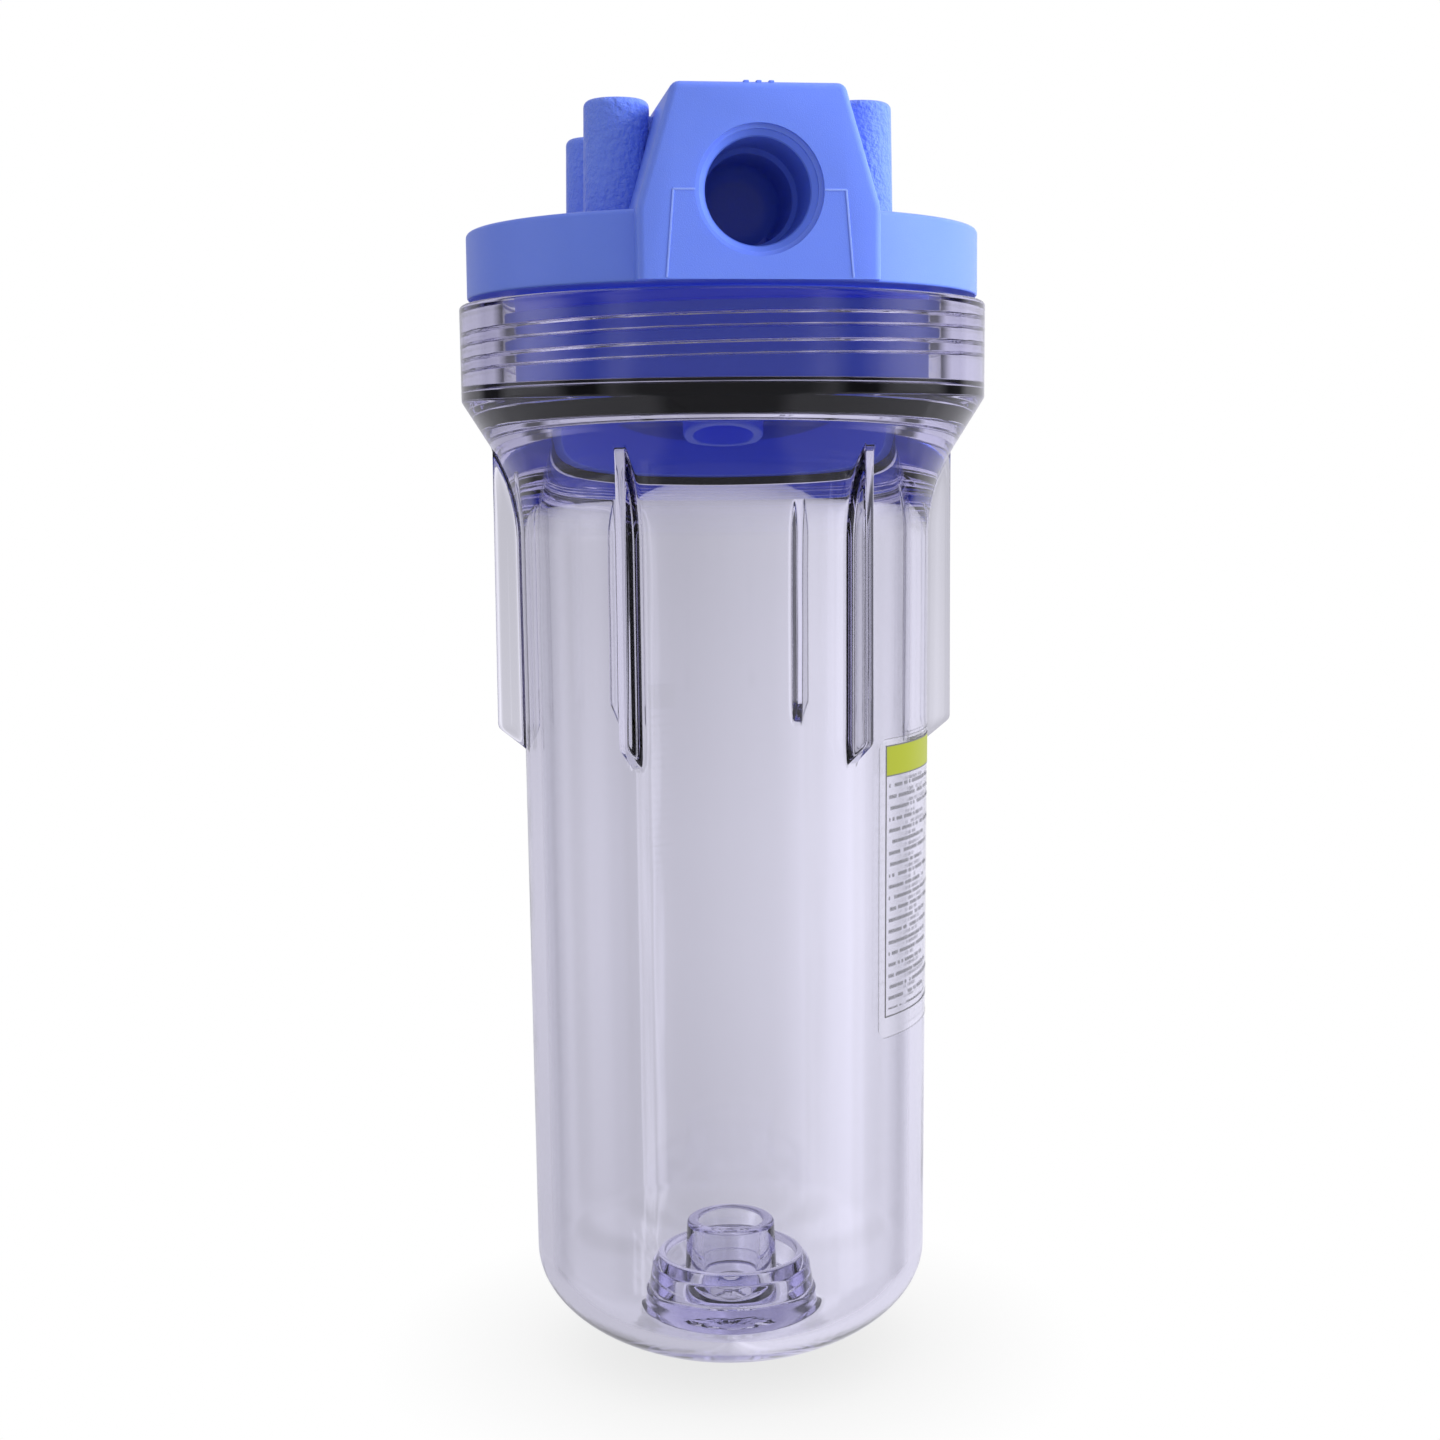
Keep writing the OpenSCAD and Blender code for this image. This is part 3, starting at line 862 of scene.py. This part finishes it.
def build_floor():
    """A pale floor with a soft contact shadow, white away from the object, and clear from below.

    Reflections and refractions look through it at the studio, so no horizon shows in the clear plastic.
    """
    material, s = new_material("floor")
    path = s.add("ShaderNodeLightPath")
    contact = s.add("ShaderNodeAmbientOcclusion", samples=8)
    contact.inputs["Distance"].default_value = 0.05
    shade = s.math("MULTIPLY_ADD", contact.outputs["AO"], 0.22, 0.78)
    seen = s.add("ShaderNodeEmission")
    s.put(shade, seen.inputs["Strength"])
    bounce = s.add("ShaderNodeEmission")
    bounce.inputs["Strength"].default_value = AMBIENT * 0.8
    clear = s.add("ShaderNodeBsdfTransparent")
    matt = s.add("ShaderNodeMixShader")
    s.put(path.outputs["Is Diffuse Ray"], matt.inputs[0])
    s.put(clear.outputs[0], matt.inputs[1])
    s.put(bounce.outputs[0], matt.inputs[2])
    shown = s.add("ShaderNodeMixShader")
    s.put(path.outputs["Is Camera Ray"], shown.inputs[0])
    s.put(matt.outputs[0], shown.inputs[1])
    s.put(seen.outputs[0], shown.inputs[2])
    face = s.add("ShaderNodeMixShader")
    s.put(s.add("ShaderNodeNewGeometry").outputs["Backfacing"], face.inputs[0])
    s.put(shown.outputs[0], face.inputs[1])
    s.put(clear.outputs[0], face.inputs[2])
    s.put(face.outputs[0], s.output.inputs["Surface"])
    size = 6.0
    floor = make_object("floor", [(-size, -size, 0), (size, -size, 0), (size, size, 0), (-size, size, 0)],
                        [(0, 1, 2, 3)])
    floor.location.z = -0.0002
    floor.data.materials.append(material)


def build_world():
    """Even light for matt surfaces, and a white room with narrow dark cards for reflections and refractions.

    The camera sees plain white. The backdrop is brighter to the viewer's right, as in the studio picture.
    """
    world = bpy.data.worlds.new("studio")
    bpy.context.scene.world = world
    s = Shader(world, "ShaderNodeOutputWorld")
    turn = s.add("ShaderNodeMapping", vector_type="POINT")
    s.put(s.add("ShaderNodeTexCoord").outputs["Generated"], turn.inputs["Vector"])
    turn.inputs["Rotation"].default_value = (0, 0, VIEW_TURN)
    split = s.add("ShaderNodeSeparateXYZ")
    s.put(turn.outputs[0], split.inputs[0])
    right, away, up = split.outputs["X"], split.outputs["Y"], split.outputs["Z"]
    azimuth = s.math("MULTIPLY", s.math("ARCTAN2", right, away), 180 / math.pi)
    elevation = s.math("MULTIPLY", s.math("ARCSINE", up), 180 / math.pi)
    spread = s.math("ABSOLUTE", azimuth)
    backdrop = s.math("MULTIPLY_ADD", s.between(azimuth, 0.5, 60, 4), 0.12, 0.63)
    backdrop = s.math("MULTIPLY_ADD", s.between(azimuth, 3.6, 60, 3), 0.09, backdrop)
    backdrop = s.math("MULTIPLY_ADD", s.between(azimuth, 4.6, 8.2, 2.4), 0.14, backdrop)
    backdrop = s.math("MULTIPLY_ADD", s.between(elevation, -16, -6, 7), 0.07, backdrop)
    backdrop = s.math("MULTIPLY_ADD", s.between(elevation, -3, 30, 4), -0.02, backdrop)
    streaks = s.math("ADD", s.between(azimuth, -4.5, -4.0, 0.35), s.between(azimuth, -3.5, -3.2, 0.3))
    backdrop = s.math("MULTIPLY_ADD", streaks, 0.14, backdrop)
    cards = s.math("ADD", s.between(spread, 52, 70, 8), s.between(spread, 108, 128, 8), clamp=True)
    cards = s.math("MULTIPLY", cards, s.between(elevation, -22, 95, 16))
    open_part = s.math("SUBTRACT", 1.0, s.math("MULTIPLY", cards, 0.88))
    level = s.math("MULTIPLY", backdrop, open_part)
    behind = s.between(spread, 138, 200, 12)
    level = s.math("MULTIPLY", level, s.math("MULTIPLY_ADD", behind, -0.6, 1.0))
    window = s.math("MULTIPLY", s.between(spread, 76, 102, 6), s.between(elevation, 2, 55, 10))
    level = s.math("MULTIPLY_ADD", window, 0.45, level)
    level = s.math("MULTIPLY_ADD", s.between(elevation, 55, 120, 20), 0.5, level)
    shaped = s.add("ShaderNodeBackground")
    shaped.inputs["Color"].default_value = rgb(*BACKDROP_TINT)
    s.put(level, shaped.inputs["Strength"])
    even = s.add("ShaderNodeBackground")
    even.inputs["Color"].default_value = rgb(1, 1, 1)
    even.inputs["Strength"].default_value = AMBIENT
    white = s.add("ShaderNodeBackground")
    white.inputs["Color"].default_value = rgb(1, 1, 1)
    path = s.add("ShaderNodeLightPath")
    lit = s.add("ShaderNodeMixShader")
    s.put(path.outputs["Is Diffuse Ray"], lit.inputs[0])
    s.put(shaped.outputs[0], lit.inputs[1])
    s.put(even.outputs[0], lit.inputs[2])
    seen = s.add("ShaderNodeMixShader")
    s.put(path.outputs["Is Camera Ray"], seen.inputs[0])
    s.put(lit.outputs[0], seen.inputs[1])
    s.put(white.outputs[0], seen.inputs[2])
    s.put(seen.outputs[0], s.output.inputs["Surface"])


def build_key():
    """A soft light from the viewer's right that only matt surfaces show."""
    data = bpy.data.lights.new("key", "AREA")
    data.shape = "RECTANGLE"
    data.size, data.size_y = 0.7, 0.9
    data.energy = KEY_POWER
    key = bpy.data.objects.new("key", data)
    bpy.context.scene.collection.objects.link(key)
    aim = Vector((0, 0, KEY_AIM_Z))
    key.location = aim + KEY_DISTANCE * Vector((math.sin(KEY_ANGLE), -math.cos(KEY_ANGLE), 0.28))
    key.rotation_euler = (key.location - aim).to_track_quat("Z", "Y").to_euler()
    key.visible_camera = False
    key.visible_glossy = False
    key.visible_transmission = False


def build_camera():
    data = bpy.data.cameras.new("camera")
    data.lens = LENS_MM
    data.sensor_width = SENSOR_MM
    data.shift_x = VIEW_SHIFT
    camera = bpy.data.objects.new("camera", data)
    bpy.context.scene.collection.objects.link(camera)
    camera.location = Vector((-VIEW_DISTANCE * math.sin(VIEW_TURN), -VIEW_DISTANCE * math.cos(VIEW_TURN),
                              VIEW_HEIGHT)) * MM
    look = Matrix.Rotation(-VIEW_TURN, 4, "Z") @ Matrix.Rotation(math.pi / 2 - VIEW_PITCH, 4, "X")
    camera.rotation_euler = (look @ Matrix.Rotation(VIEW_ROLL, 4, "Z")).to_euler()
    bpy.context.scene.camera = camera


def set_light_paths():
    """Enough bounces for light to cross both walls of the sump and the seat inside it."""
    scene = bpy.context.scene
    scene.view_settings.view_transform = "Standard"
    scene.cycles.max_bounces = 24
    scene.cycles.transmission_bounces = 24
    scene.cycles.glossy_bounces = 8
    scene.cycles.diffuse_bounces = 4
    scene.cycles.transparent_max_bounces = 16
    scene.cycles.sample_clamp_indirect = 6


dress(build_sump(), clear_plastic(), "sump", "sump")
dress(build_head(), blue_plastic(), "head", "head")
dress(build_ring(), seal_rubber(), "seal", "o_ring")
dress(build_label(), label_print(), "sump", "label")
build_floor()
build_world()
build_key()
build_camera()
set_light_paths()
